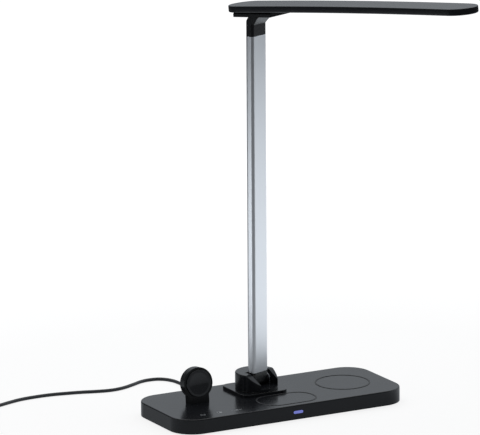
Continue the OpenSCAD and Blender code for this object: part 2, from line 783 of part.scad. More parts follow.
// ---------- head ----------
// Rise of the arch at u from the rear end
function arch(u) = 4 * head_sag * (u / head_len) * (1 - u / head_len);

// Plan of the head, drawn in by inset: both ends round, or cut square at start from the rear end
module head_outline(inset, start = 0) {
    r = tip_r - inset;
    rear = start == 0 ? head_back - tip_r : head_back - start;
    translate([0, tip_r - head_front]) circle(r);
    translate([-r, tip_r - head_front]) square([2 * r, rear - tip_r + head_front]);
    if (start == 0) translate([0, rear]) circle(r);
}

// Arched layer of the head between two heights above its underside
module head_layer(z0, z1, u0 = -1, u1 = head_len + 1) {
    us = [for (i = [0:arch_steps]) u0 + (u1 - u0) * i / arch_steps];
    low = [for (u = us) [head_back - u, under + arch(u) + z0]];
    high = [for (i = [arch_steps:-1:0]) [head_back - us[i], under + arch(us[i]) + z1]];
    rotate([90, 0, 90]) linear_extrude(2 * head_w, center = true) polygon(concat(low, high));
}

module head_part(inset, z0, z1, start = 0) {
    intersection() {
        linear_extrude(far, center = true) head_outline(inset, start);
        head_layer(z0, z1);
    }
}

module plate_screw_places() {
    for (x = [-1, 1], u = screw_u) translate([x * screw_x, head_back - u, 0]) children();
}

module head_shell() color([0.1, 0.1, 0.11])
    on_head() {
        difference() {
            head_part(0, 0, head_t);
            head_part(head_wall, -1, head_t - head_roof);
        }
        intersection() {
            plate_screw_places() tube(5.4, 1.8, far);
            head_layer(bezel_t, head_t - head_roof / 2);
        }
    }

module head_bottom_cover() color([0.12, 0.12, 0.13])
    on_head() difference() {
        head_part(head_wall + gap, 0, bezel_t);
        linear_extrude(far) head_outline(bezel_w, panel_start);
        plate_screw_places() cylinder(d = 2.4, h = far);
    }

module diffuser_panel() color([0.95, 0.95, 0.92])
    on_head() {
        head_part(bezel_w + gap, gap, panel_z, panel_start + gap);
        head_part(guide_edge, bezel_t, panel_z, panel_start - 1);
    }

module light_guide() color([0.9, 0.95, 1])
    on_head() head_part(guide_edge, panel_z, panel_z + guide_t, panel_start - 1);

module reflector_sheet() color([0.97, 0.97, 0.97])
    on_head() head_part(guide_edge, panel_z + guide_t, panel_z + guide_t + 0.3, panel_start - 1);

module led_strip() color([0.9, 0.9, 0.88])
    on_head() intersection() {
        translate([strip_x - strip_t, tip_r - head_front + 4, 0])
            cube([strip_t, head_len - tip_r - panel_start, far]);
        head_layer(bezel_t, head_t - head_roof);
    }

module led_chips() color([0.95, 0.85, 0.4])
    on_head() for (i = [0:led_count - 1]) {
        u = panel_start + 6 + (head_len - tip_r - panel_start - 12) * i / (led_count - 1);
        translate([strip_x - strip_t - led.x, head_back - u - led.y / 2, under + arch(u) + panel_z + 0.3])
            cube(led);
    }

// Section of the hinge plate across the head, narrower at its top
module plate_section() {
    half = plate_w / 2;
    low = ear_r + pass;
    mid = under - plate_chamfer;
    polygon([[-half, low], [half, low], [half, mid], [half - 2 * plate_chamfer, mid + 2 * plate_chamfer],
        [2 * plate_chamfer - half, mid + 2 * plate_chamfer], [-half, mid]]);
}

module hinge_plate() color([0.09, 0.09, 0.1])
    on_head() difference() {
        union() {
            difference() {
                intersection() {
                    head_layer(-plate_t - 3, 0);
                    translate([0, head_back - plate_inset, 0]) rotate([90, 0, 0])
                        linear_extrude(plate_len) plate_section();
                }
                // pockets that the neck's ears dip into when the head folds down
                for (s = [0, 180]) rotate([0, 0, s])
                    rod_x(2 * (nose_r + pass), knuckle_w / 2, arm_w / 2 + pass);
            }
            rod_x(2 * ear_r, -knuckle_w / 2, knuckle_w / 2);
            translate([-knuckle_w / 2, -ear_r, 0]) cube([knuckle_w, 2 * ear_r, ear_r + pass + 0.5]);
        }
        rod_x(up_pin_d + 2 * run, -far, far);
        plate_screw_places() {
            cylinder(d = 2.4, h = far);
            translate([0, 0, ear_r + pass - 1]) cylinder(d = 4.4, h = 2.4);
        }
    }

module hinge_plate_screws() color([0.5, 0.5, 0.52])
    on_head() plate_screw_places() translate([0, 0, ear_r + pass + 0.1]) {
        difference() {
            cylinder(d = 4, h = 1.3);
            translate([0, 0, -1]) cylinder(d = 1.8, h = 1.7, $fn = 6);
        }
        cylinder(d = 1.8, h = 8.2);
    }

// ---------- cord ----------
function unit(v) = v / norm(v);

// Catmull-Rom point on the leg after point i, at t from 0 to 1
function leg(p, i, t) =
    let (a = p[max(i - 1, 0)], b = p[i], c = p[i + 1], d = p[min(i + 2, len(p) - 1)])
    0.5 * (2 * b + (c - a) * t + (2 * a - 5 * b + 4 * c - d) * t * t
        + (3 * b - a - 3 * c + d) * t * t * t);

function on_table(p) = [p.x, p.y, max(p.z, cord_z)];

function smooth(p, per_leg) =
    [for (i = [0:len(p) - 2], k = [0:per_leg - 1]) on_table(leg(p, i, k / per_leg)),
        p[len(p) - 1]];

// Section of the cord at p, square to the direction t
function section(p, t, r, sides) =
    let (side = unit(cross(t, [0, 0, 1])), up = cross(side, t))
    [for (k = [0:sides - 1]) p + r * (cos(360 * k / sides) * side + sin(360 * k / sides) * up)];

function heading(p, i) = i == 0 ? unit(p[1] - p[0])
    : i == len(p) - 1 ? unit(p[i] - p[i - 1]) : unit(p[i + 1] - p[i - 1]);

module sweep(p, r, sides) {
    n = len(p);
    rings = [for (i = [0:n - 1]) each section(p[i], heading(p, i), r, sides)];
    walls = [for (i = [0:n - 2], k = [0:sides - 1])
        let (a = i * sides + k, b = i * sides + (k + 1) % sides)
        each [[a, a + sides, b + sides], [a, b + sides, b]]];
    caps = [[for (k = [0:sides - 1]) k], [for (k = [sides - 1:-1:0]) (n - 1) * sides + k]];
    polyhedron(rings, concat(walls, caps));
}

// Middle line of the coil after t loops: in along the table, out one layer up
function coil_point(t) =
    let (away = abs(t - loops), r = coil_out - loop_pitch * (loops - away),
        climb = min(max((t - loops) * 2 + 0.5, 0), 1), a = coil_angle - 360 * t)
    [coil_mid.x + r * cos(a), coil_mid.y + r * sin(a),
        cord_z + layer_rise * climb * climb * (3 - 2 * climb)];

coil_line = [for (i = [0:48 * loops]) coil_point(i / 24)];
coil_path = concat([coil_line[0] - cord_d * coil_dir], coil_line,
    [coil_line[48 * loops] + cord_d * coil_dir]);
coil_gap = min([for (i = [0:len(coil_line) - 14], j = [i + 12:len(coil_line) - 1])
    norm(coil_line[i] - coil_line[j])]) - cord_d;
echo(str("coil: least gap between loops ", coil_gap, " mm"));

cord_path = concat([cord_start], smooth(concat(cord_points, [coil_path[0] - 4 * coil_dir]), 3),
    [coil_path[0]]);
tail_from = coil_path[len(coil_path) - 1];
tail_path = concat([tail_from], smooth([tail_from + 3 * coil_dir, tail_from + 14 * coil_dir,
    coil_edge + 34 * coil_dir + [0, 0, cord_z], coil_edge + 56 * coil_dir + [0, 0, cord_z],
    coil_edge + 78 * coil_dir + [0, 0, 7], tail_end - 4 * coil_dir], 3), [tail_end]);

module power_plug() color([0.1, 0.1, 0.1])
    translate([socket_x, plug_y, jack_z]) {
        rotate([-90, 0, 0]) rotate_extrude() polygon([[0, 0], [plug_d / 2 - 0.6, 0],
            [plug_d / 2, 0.6], [plug_d / 2, plug_len - 4], [plug_d / 2 - 1.2, plug_len],
            [cord_d / 2 + 0.6, plug_len + relief_len], [0, plug_len + relief_len]]);
        difference() {
            translate([0, eps, 0]) rotate([90, 0, 0]) cylinder(d = barrel_d, h = barrel_len);
            translate([0, -1.4, 0]) rotate([90, 0, 0]) cylinder(d = 2.1, h = barrel_len);
        }
    }

module power_cord() color([0.15, 0.15, 0.16]) sweep(cord_path, cord_d / 2, 8);

module cord_coil() color([0.15, 0.15, 0.16]) sweep(coil_path, cord_d / 2, 6);

module cord_tail() color([0.15, 0.15, 0.16]) sweep(tail_path, cord_d / 2, 8);

// The adapter lies on the table, its blades away from the cord
module at_adapter() {
    translate(tail_end) rotate(atan2(coil_dir.y, coil_dir.x)) children();
}

adapter = [46, 36, 22];
module adapter_body() color([0.1, 0.1, 0.1])
    at_adapter() {
        rotate([0, 90, 0]) cylinder(d1 = cord_d + 1.2, d2 = 7.6, h = 9);
        translate([9 + adapter.x / 2, 0, -adapter.z / 2])
            linear_extrude(adapter.z) rounded_rect(adapter.x, adapter.y, 5);
    }

module adapter_blades() color([0.8, 0.72, 0.45])
    at_adapter() for (y = [-6.35, 6.35])
        translate([9 + adapter.x, y - 0.75, -3.2]) cube([17, 1.5, 6.4]);

base_top_cover();
base_bottom_cover();
anti_slip_mat();
base_screws();
ballast_plate();
main_board();
board_parts();
touch_board();
phone_coil();
phone_ferrite();
phone_pad_ring();
earbuds_coil();
earbuds_ferrite();
earbuds_pad_ring();
indicator_window();
power_socket();
watch_stand();
watch_puck();
watch_coil();
watch_stand_screws();
turntable_ring();
turntable_drum();
swivel_spindle();
swivel_spring_washer();
swivel_nut();
drum_screws();
lower_hinge_pin();
friction_leaf();
friction_springs();
lower_hinge_nut();
arm_foot();
arm_tube();
arm_cable();
arm_screws();
neck_bracket();
upper_hinge_pin();
hinge_plate();
hinge_plate_screws();
head_shell();
head_bottom_cover();
diffuser_panel();
light_guide();
reflector_sheet();
led_strip();
led_chips();
power_plug();
power_cord();
cord_coil();
cord_tail();
adapter_body();
adapter_blades();
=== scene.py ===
# %% [markdown]
# # A desk lamp on a charging base
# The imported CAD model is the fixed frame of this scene. We load it first, and everything
# that follows is either a finish for one of its nodes or a detailed piece that stands for one.
# All numbers are metres, and +Z is up, as in the CAD.

# %% Load the frame
import json
import math

import bmesh
import bpy
from mathutils import Matrix, Vector


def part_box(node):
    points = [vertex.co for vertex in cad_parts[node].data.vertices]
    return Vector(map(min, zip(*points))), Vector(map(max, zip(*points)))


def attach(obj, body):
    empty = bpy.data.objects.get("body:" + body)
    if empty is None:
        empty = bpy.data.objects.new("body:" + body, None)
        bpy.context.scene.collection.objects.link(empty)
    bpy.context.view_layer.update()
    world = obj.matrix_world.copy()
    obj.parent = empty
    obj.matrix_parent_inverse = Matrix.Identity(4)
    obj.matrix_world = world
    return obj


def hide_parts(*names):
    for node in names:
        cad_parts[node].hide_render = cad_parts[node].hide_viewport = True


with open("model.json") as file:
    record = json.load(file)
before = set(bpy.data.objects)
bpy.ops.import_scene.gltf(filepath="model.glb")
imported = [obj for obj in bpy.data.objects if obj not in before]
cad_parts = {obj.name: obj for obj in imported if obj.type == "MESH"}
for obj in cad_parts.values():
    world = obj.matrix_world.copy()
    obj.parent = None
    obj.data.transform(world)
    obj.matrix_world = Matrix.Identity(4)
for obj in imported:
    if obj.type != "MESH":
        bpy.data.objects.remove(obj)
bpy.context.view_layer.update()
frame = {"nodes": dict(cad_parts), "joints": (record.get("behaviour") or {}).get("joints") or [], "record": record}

MM = 0.001
NODES = frame["nodes"]
BODY_OF = {node: body for body, nodes in frame["record"]["behaviour"]["bodies"].items() for node in nodes}

# %% [markdown]
# ## The camera
# A product photographer stands far back and zooms in, so parallel edges stay almost parallel.
# We do the same: a very long lens, five metres away, looking a little down at the lamp from
# its front left. A tiny roll copies the photographer's tilt.

# %% Place the camera
AZIMUTH, ELEVATION, ROLL = math.radians(28.65), math.radians(13.30), math.radians(-0.35)
DISTANCE = 5.0
SENSOR_WIDTH = 36.0
FOCAL_PIXELS, FRAME_WIDTH = 5038, 480
LOOK_RIGHT, LOOK_HEIGHT = -0.02985, 0.19613      # the point that the picture's middle looks at

level_forward = Vector((math.sin(AZIMUTH), math.cos(AZIMUTH), 0))
level_right = Vector((math.cos(AZIMUTH), -math.sin(AZIMUTH), 0))
forward = level_forward * math.cos(ELEVATION) - Vector((0, 0, math.sin(ELEVATION)))
upright = level_right.cross(forward)
right = level_right * math.cos(ROLL) + upright * math.sin(ROLL)
up = upright * math.cos(ROLL) - level_right * math.sin(ROLL)
look_at = level_right * LOOK_RIGHT + Vector((0, 0, LOOK_HEIGHT))

camera_data = bpy.data.cameras.new("long_lens")
camera_data.sensor_width = SENSOR_WIDTH
camera_data.sensor_fit = "HORIZONTAL"
camera_data.lens = FOCAL_PIXELS / FRAME_WIDTH * SENSOR_WIDTH
camera_data.clip_end = 100
camera = bpy.data.objects.new("camera", camera_data)
turned = Matrix((right, up, -forward)).transposed().to_4x4()
camera.matrix_world = Matrix.Translation(look_at - forward * DISTANCE) @ turned
bpy.context.scene.collection.objects.link(camera)
bpy.context.scene.camera = camera
print("camera: lens", round(camera_data.lens), "mm at", [round(v, 2) for v in camera.location])

# %% [markdown]
# ## The power lead
# A low-voltage lead is one soft PVC tube, 3.5 mm thick. It leaves the plug straight, sinks to
# the table and lies in loose bends, and what the picture does not need is wound up for storage.
# A curve object is made for this: we give the line through its middle and a thickness. The
# points are the ones that the CAD route goes through, and automatic handles round the bends.

# %% The lead's route
LEAD_THICK = 3.5
LEAD_REST = 1.77            # height of its middle above the table
LEAD_EXIT = (-40, 81.2, 8.3)
FIRST_POINTS = [(-40, 83.2, 8.3), (-40, 86.2, 8.3), (-40, 98, 3.4)]     # straight out, then down
LOOSE_POINTS = [(-39, 111), (-38, 125), (-41, 139), (-48, 147.5), (-57, 150), (-67, 149), (-82, 142),
                (-96, 136), (-110, 134), (-125, 137), (-140, 142), (-156, 146), (-172, 149),
                (-190, 149.5), (-206, 148), (-220, 144), (-234, 139)]
COIL_CENTRE, COIL_OUTER, LOOP_PITCH, LAYER_RISE = Vector((-272, 156, 0)), 27.45, 4.1, 4.0
LOOPS_PER_LAYER, STEPS_PER_LOOP = 4, 24
COIL_START = math.radians(-72)
coil_way = Vector((math.sin(COIL_START), -math.cos(COIL_START), 0))


def coil_point(turns):
    """The lead winds inwards on the table, climbs one layer and winds outwards again."""
    away = abs(turns - LOOPS_PER_LAYER)
    radius = COIL_OUTER - LOOP_PITCH * (LOOPS_PER_LAYER - away)
    climb = min(max((turns - LOOPS_PER_LAYER) * 2 + 0.5, 0), 1)
    angle = COIL_START - math.tau * turns
    rise = LAYER_RISE * climb * climb * (3 - 2 * climb)
    return COIL_CENTRE + Vector((radius * math.cos(angle), radius * math.sin(angle), LEAD_REST + rise))


coil_line = [coil_point(i / STEPS_PER_LOOP) for i in range(2 * LOOPS_PER_LAYER * STEPS_PER_LOOP + 1)]
# how far past the coil's end the tail's points lie, and how high; it ends in the adapter's inlet
INLET = 11
tail = [(3, LEAD_REST + LAYER_RISE), (14, LEAD_REST + LAYER_RISE), (34, LEAD_REST), (56, LEAD_REST),
        (78, 7), (92, INLET), (96, INLET)]
route = [Vector(point) for point in (LEAD_EXIT, *FIRST_POINTS)]
route += [Vector((x, y, LEAD_REST)) for x, y in LOOSE_POINTS]
route += [coil_line[0] - coil_way * LEAD_THICK] + coil_line
route += [Vector((*(coil_line[-1] + ahead * coil_way).xy, height)) for ahead, height in tail]
print("lead: route of", len(route), "points")

# %% The lead as one curve
lead_curve = bpy.data.curves.new("power_lead", "CURVE")
lead_curve.dimensions = "3D"
lead_curve.bevel_depth = LEAD_THICK / 2 * MM
lead_curve.bevel_resolution = 3
lead_curve.resolution_u = 4
lead_curve.use_fill_caps = True
line = lead_curve.splines.new("BEZIER")
line.bezier_points.add(len(route) - 1)
for knot, place in zip(line.bezier_points, route):
    knot.co = place * MM
    knot.handle_left_type = knot.handle_right_type = "AUTO"
lead = bpy.data.objects.new("power_lead", lead_curve)
bpy.context.scene.collection.objects.link(lead)
bpy.context.view_layer.update()
# where the lead lies on the table its handles are level, so that no bend dips into the table
for knot in line.bezier_points:
    if knot.co.z < (LEAD_REST + 0.01) * MM:
        knot.handle_left_type = knot.handle_right_type = "FREE"
        knot.handle_left.z = knot.handle_right.z = knot.co.z

# %% [markdown]
# ## Helpers for materials
# Every finish below is a small node tree. One function adds a node, with its settings and
# the values or links that go into it. Another turns the sRGB hex colours that designers
# use into the linear numbers that the shader wants. A third joins a few nodes into a finish:
# a slow cloud that moves the tone and the gloss, and a fine grain that makes the relief.

# %% Helpers: a colour and a node
def linear(hex_colour):
    """An sRGB hex colour, such as 2B2D31, as linear RGBA."""
    parts = [int(hex_colour[i:i + 2], 16) / 255 for i in (0, 2, 4)]
    return [p / 12.92 if p <= 0.04045 else ((p + 0.055) / 1.055) ** 2.4 for p in parts] + [1]


def node(tree, kind, inputs=None, **settings):
    """Adds one shader node; inputs maps a socket to a value or to the socket that feeds it."""
    made = tree.nodes.new("ShaderNode" + kind)
    for name, value in settings.items():
        setattr(made, name, value)
    for name, value in (inputs or {}).items():
        if isinstance(value, bpy.types.NodeSocket):
            tree.links.new(value, made.inputs[name])
        else:
            made.inputs[name].default_value = value
    return made


print("a middle grey, 808080, is", round(linear("808080")[0], 3), "in linear light")


# %% Helper: a finish
def new_finish(name, low, high, cloud_mm, rough, grain_mm, relief_mm, stretch=(1, 1, 1), **shader):
    """A finish with what every real surface has: a tone that drifts between two colours over
    cloud_mm, a roughness that drifts with it between the pair rough, and a relief whose grains
    are about grain_mm wide. The rest goes to the shader's own sockets."""
    material = bpy.data.materials.new(name)
    material.use_nodes = True
    tree = material.node_tree
    tree.nodes.clear()
    surface = node(tree, "BsdfPrincipled", {key.replace("_", " "): value for key, value in shader.items()})
    node(tree, "OutputMaterial", {"Surface": surface.outputs["BSDF"]})
    place = node(tree, "TexCoord").outputs["Object"]
    cloud = node(tree, "TexNoise", {"Vector": place, "Scale": 1 / (cloud_mm * MM)}).outputs["Fac"]
    tone = node(tree, "Mix", {0: cloud, 6: linear(low), 7: linear(high)}, data_type="RGBA")
    tree.links.new(tone.outputs[2], surface.inputs["Base Color"])
    gloss = node(tree, "MapRange", {"Value": cloud, "To Min": rough[0], "To Max": rough[1]})
    tree.links.new(gloss.outputs["Result"], surface.inputs["Roughness"])
    stretched = node(tree, "Mapping", {"Vector": place, "Scale": stretch}).outputs["Vector"]
    grain = node(tree, "TexNoise", {"Vector": stretched, "Scale": 1 / (grain_mm * MM)}).outputs["Fac"]
    relief = node(tree, "Bump", {"Height": grain, "Distance": relief_mm * MM})
    tree.links.new(relief.outputs["Normal"], surface.inputs["Normal"])
    return material


print("a finish has a name, two tones, a cloud, a roughness, a grain and a relief")

# %% [markdown]
# ## Painted and moulded plastic
# The base, the turntable and the lamp head are ABS with a dark grey satin paint. Satin paint
# is smooth enough to mirror a bright wall at a shallow angle, which is why the flat tops look
# far lighter than the walls. Up close it has a faint orange peel, about half a millimetre wide.
# The arm's foot, the neck and the stand are plain black ABS with a fine spark-eroded grain.
# Both are nearly black by themselves, so their albedo is low and the gloss gives the rest.

# %% Satin paint and grained ABS
# hands polish the paint unevenly, in soft patches a few centimetres wide
PAINT = new_finish("satin_paint_dark_grey", "191A1D", "1F2125", 40, (0.18, 0.24), 0.5, 0.003, IOR=1.42)
# spark erosion leaves pits 0.1 mm wide; they are drawn 0.35 mm wide, so that they show
BLACK_ABS = new_finish("grained_black_abs", "0E0F11", "151618", 25, (0.24, 0.30), 0.35, 0.008, IOR=1.42)
print("plastics:", PAINT.name, BLACK_ABS.name)

# %% [markdown]
# ## Metals
# The arm is extruded aluminium, bead-blasted and then clear anodised: an even, slightly bluish
# silver with soft, wide reflections and faint draw lines along its length. The hinge parts are
# zinc-plated steel, and the coils are enamelled copper wire. A metal has no colour but its shine.

# %% Anodised aluminium, steel, copper and brass
# the draw lines are 0.6 mm apart and fifty times as long, because extruding pulls them out
ALUMINIUM = new_finish("anodised_aluminium", "DCDDDF", "E4E5E7", 30, (0.30, 0.36), 0.6, 0.003,
                       stretch=(1, 1, 0.02), Metallic=1.0)
STEEL = new_finish("zinc_plated_steel", "C9CBCE", "A9ABAF", 0.8, (0.24, 0.36), 0.5, 0.003, Metallic=1.0)
PIN_STEEL = new_finish("blackened_steel", "2A2B2D", "38393C", 0.8, (0.30, 0.42), 0.5, 0.003, Metallic=1.0)
BALLAST_STEEL = new_finish("galvanised_sheet_steel", "8E9195", "A9ACB0", 8, (0.38, 0.5), 3, 0.004,
                           Metallic=1.0)
BRASS = new_finish("nickel_plated_brass", "CFC7B0", "BDB59C", 0.8, (0.2, 0.3), 0.6, 0.002, Metallic=1.0)
# a winding of wire 0.5 mm thick: the stripes run across it, and the lacquer between them is dark
COPPER = new_finish("enamelled_copper_wire", "7A3B1E", "C77B4A", 0.5, (0.25, 0.35), 0.5, 0.05,
                    stretch=(1, 0.1, 1), Metallic=1.0)
print("metals:", ALUMINIUM.name, STEEL.name, BRASS.name)

# %% [markdown]
# ## Rubber, silicone and the lead's jacket
# These are soft and matt, and dust settles in their fine grain. The lead's PVC is a little
# glossier than the mat's rubber, and the raised pad lines are silicone, on which nothing slides.

# %% Soft finishes
MAT_RUBBER = new_finish("matt_nitrile_rubber", "151516", "1C1C1D", 3, (0.72, 0.85), 0.6, 0.03)
PAD_SILICONE = new_finish("dark_grey_silicone", "2C2D30", "343539", 6, (0.45, 0.55), 0.5, 0.01)
CORD_PVC = new_finish("dark_grey_pvc", "3A3B3F", "434448", 6, (0.40, 0.48), 0.6, 0.008)
FERRITE = new_finish("sintered_ferrite", "303032", "3A3A3C", 1, (0.6, 0.7), 0.8, 0.02)
CHIP_EPOXY = new_finish("moulded_chip_epoxy", "17181A", "1E1F21", 2, (0.5, 0.6), 0.4, 0.004)
print("soft finishes:", MAT_RUBBER.name, PAD_SILICONE.name, CORD_PVC.name)

# %% [markdown]
# ## Clear, white and glowing plastics
# The diffuser is opal polystyrene, which spreads the light of the LEDs at the head's edge. The
# puck is hard and glossy, like a lens. The window in the base's front glows a faint violet blue.

# %% Plastics that carry light, and the circuit board
ACETAL = new_finish("natural_acetal", "E4E2DA", "ECEAE3", 6, (0.32, 0.4), 0.4, 0.002)
PUCK = new_finish("gloss_dark_polycarbonate", "1B1C1F", "202125", 10, (0.10, 0.14), 0.4, 0.001, IOR=1.58)
DIFFUSER = new_finish("opal_polystyrene", "EDEDE8", "F3F3EF", 20, (0.36, 0.42), 0.4, 0.003, IOR=1.59)
GUIDE = new_finish("clear_acrylic", "E8EEF2", "F0F5F8", 20, (0.05, 0.08), 0.8, 0.001, IOR=1.49)
FILM = new_finish("white_reflector_film", "F0F0F0", "F6F6F6", 10, (0.48, 0.55), 0.4, 0.002)
PHOSPHOR = new_finish("yellow_led_phosphor", "D9B84A", "E6CB66", 1, (0.3, 0.4), 0.3, 0.004)
INK_GREY = new_finish("light_grey_screen_ink", "A4A6AA", "B2B4B8", 2, (0.45, 0.55), 0.3, 0.002)
WINDOW = new_finish("frosted_light_window", "8F96E0", "A4AAEC", 3, (0.28, 0.34), 0.4, 0.002,
                    Emission_Color=linear("7C84E6"), Emission_Strength=0.45)
# solder mask over copper tracks about 1.5 mm apart, which show as slightly lighter streaks
BOARD = new_finish("green_solder_mask", "0C4A2A", "1B6238", 1.5, (0.26, 0.34), 1.5, 0.03,
                   stretch=(1, 0.15, 1), IOR=1.5)
print("clear and glowing:", DIFFUSER.name, WINDOW.name, BOARD.name)

# %% [markdown]
# ## Which node gets which finish
# Inside the lamp there is a board, coils, a steel plate and screws that the picture never shows.
# They keep their CAD shapes, and each still gets the finish of the real thing.

# %% Give every CAD node its finish
FINISH_OF = {
    PAINT: ["base_top_cover", "turntable_drum", "head_shell"],
    BLACK_ABS: ["base_bottom_cover", "power_socket", "watch_stand", "arm_foot", "neck_bracket",
                "hinge_plate", "head_bottom_cover", "power_plug", "adapter_body"],
    ALUMINIUM: ["arm_tube"],
    MAT_RUBBER: ["anti_slip_mat"],
    PAD_SILICONE: ["phone_pad_ring", "earbuds_pad_ring"],
    CORD_PVC: ["power_cord", "cord_coil", "cord_tail", "arm_cable"],
    STEEL: ["base_screws", "watch_stand_screws", "swivel_spindle", "swivel_spring_washer", "swivel_nut",
            "drum_screws", "lower_hinge_pin", "friction_leaf", "friction_springs", "lower_hinge_nut",
            "arm_screws", "upper_hinge_pin", "hinge_plate_screws"],
    BALLAST_STEEL: ["ballast_plate"],
    COPPER: ["phone_coil", "earbuds_coil", "watch_coil"],
    FERRITE: ["phone_ferrite", "earbuds_ferrite"],
    BOARD: ["main_board", "touch_board"],
    CHIP_EPOXY: ["board_parts"],
    ACETAL: ["turntable_ring"],
    PUCK: ["watch_puck"],
    WINDOW: ["indicator_window"],
    DIFFUSER: ["diffuser_panel"],
    GUIDE: ["light_guide"],
    FILM: ["reflector_sheet", "led_strip"],
    PHOSPHOR: ["led_chips"],
    BRASS: ["adapter_blades"],
}
for material, names in FINISH_OF.items():
    for name in names:
        slots = NODES[name].data.materials
        if not slots:
            slots.append(material)
        for i in range(len(slots)):
            slots[i] = material
print("finished nodes:", sum(len(names) for names in FINISH_OF.values()))

# %% [markdown]
# ## From CAD solid to moulded part
# The CAD nodes come in as loose triangles. On the real lamp every edge is slightly round, because
# a mould or a tool made it, and it is that thin round edge that catches the light. We could bevel
# with a modifier, but its width would be limited by the smallest rib inside the part. So we copy
# the mesh, merge its triangles to clean faces, and bevel only the edges that a hand can reach.

# %% A helper that finishes a new piece
SMOOTH = 38                 # degrees: an edge sharper than this is shaded as an edge


def new_piece(shape, name, finish, slot, body, *stands_for):
    """Turns a bmesh into a piece that rides on a body."""
    mesh = bpy.data.meshes.new(name)
    shape.to_mesh(mesh)
    shape.free()
    mesh.shade_smooth()
    mesh.set_sharp_from_angle(angle=math.radians(SMOOTH))
    mesh.materials.append(finish)
    piece = bpy.data.objects.new(name, mesh)
    bpy.context.scene.collection.objects.link(piece)
    even = piece.modifiers.new("even_flats", "WEIGHTED_NORMAL")   # flat faces stay flat beside a round edge
    even.keep_sharp = True
    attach(piece, body)
    if stands_for:
        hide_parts(*stands_for)
    return piece


# %% A helper that dresses a node
SLOT_OF = {part["node"]: part["material_slot"] for part in frame["record"]["subparts"]}
FLAT, CRISP = 0.04, 30      # degrees: faces that meet flatter than this are one, sharper is an edge


def dressed(name, finish, edge=0.0, steps=2, above=-math.inf, below=math.inf):
    """A copy of a node, its crisp edges rounded by edge mm where they lie between two heights in mm."""
    shape = bmesh.new()
    shape.from_mesh(NODES[name].data)
    bmesh.ops.remove_doubles(shape, verts=shape.verts, dist=0.002 * MM)
    bmesh.ops.dissolve_limit(shape, angle_limit=math.radians(FLAT), verts=shape.verts, edges=shape.edges)
    before = shape.calc_volume()
    if edge:
        crisp = [e for e in shape.edges if e.calc_face_angle(0) > math.radians(CRISP)
                 and all(above < v.co.z / MM < below for v in e.verts)]
        bmesh.ops.bevel(shape, geom=crisp, offset=edge * MM, offset_type="OFFSET", segments=steps,
                        profile=0.5, affect="EDGES", material=-1, clamp_overlap=True)
    cut = 1 - shape.calc_volume() / before
    faces = len(shape.faces)
    piece = new_piece(shape, name + "_moulded", finish, SLOT_OF[name], BODY_OF[name], name)
    print(f"{name}: {faces} faces, {cut:.2%} of it cut away")
    return piece


print("slots that the record names:", len(set(SLOT_OF.values())))


# %% A helper that turns a round part
def turned(profile, place, steps=40):
    """Spins (radius, distance) pairs, in millimetres, round an axis and puts the shape in place."""
    shape = bmesh.new()
    knots = [shape.verts.new((radius * MM, 0, along * MM)) for radius, along in profile]
    edges = [shape.edges.new(pair) for pair in zip(knots, knots[1:])]
    bmesh.ops.spin(shape, geom=knots + edges, cent=(0, 0, 0), axis=(0, 0, 1), dvec=(0, 0, 0),
                   angle=math.tau, steps=steps, use_merge=True)
    bmesh.ops.remove_doubles(shape, verts=shape.verts, dist=0.001 * MM)
    bmesh.ops.recalc_face_normals(shape, faces=shape.faces)
    bmesh.ops.transform(shape, matrix=place, verts=shape.verts)
    return shape


print("a round part is turned in 40 steps, unless it asks for another number")

# %% [markdown]
# ## The base and what stands on it
# The top cover is one thin tray turned upside down, with a soft edge all round. We keep its
# shape and give it smooth shading. The charging stand is a leaning, round-topped post whose rim
# is worn to a soft edge, and the puck has a small polished bevel.

# %% Dress the base
dressed("base_top_cover", PAINT)
dressed("base_bottom_cover", BLACK_ABS)
dressed("anti_slip_mat", MAT_RUBBER, 0.3)
dressed("phone_pad_ring", PAD_SILICONE, 0.12)
dressed("earbuds_pad_ring", PAD_SILICONE, 0.12)
dressed("indicator_window", WINDOW, 0.12)
dressed("power_socket", BLACK_ABS, 0.2)
dressed("watch_stand", BLACK_ABS, 0.7, 3)
dressed("watch_puck", PUCK, 0.35, 3)
dressed("turntable_ring", ACETAL)

# %% [markdown]
# ## The turntable and its friction hinge
# This is the lamp's working heart: a drum that turns on the base, with a slot in which the
# arm's foot swings on a steel pin between a leaf, two dished springs and a nut. The slot is
# open to the front, so all of it shows. Steel parts get much finer edges than plastic ones.

# %% Dress the turntable and the hinge
dressed("turntable_drum", PAINT, 0.3, 3, above=20.5)      # its foot turns in a groove and stays crisp
dressed("arm_foot", BLACK_ABS, 0.35, below=36.2)           # above this it is a plug inside the tube
for name, edge in (("lower_hinge_pin", 0.2), ("friction_leaf", 0.15), ("friction_springs", 0.1),
                   ("lower_hinge_nut", 0.15)):
    dressed(name, STEEL, edge)

# %% [markdown]
# ## The arm, the neck and the head
# The arm is an extruded aluminium tube, sawn square and screwed to plastic ends. The neck leans
# forward under the head and holds it on a second, smaller hinge. The head is a flat shell that
# is slightly arched along its length, closed from below by a cover that frames the diffuser.

# %% Dress the arm
dressed("arm_tube", ALUMINIUM)
dressed("arm_screws", STEEL, 0.1)
dressed("hinge_plate_screws", STEEL, 0.1)
dressed("head_bottom_cover", BLACK_ABS, 0.2)
dressed("diffuser_panel", DIFFUSER, 0.1)

# %% [markdown]
# ## The neck
# The neck is one moulding: it starts as the tube's own section, leans forward in a flat slope
# and ends in a nose that nests in the hinge plate. The slope is its most visible face, so it is
# cut like a real one: we take a tall block with round corners and slice it with planes. The
# record's joints say where the arm's two pins are, and which way they point.

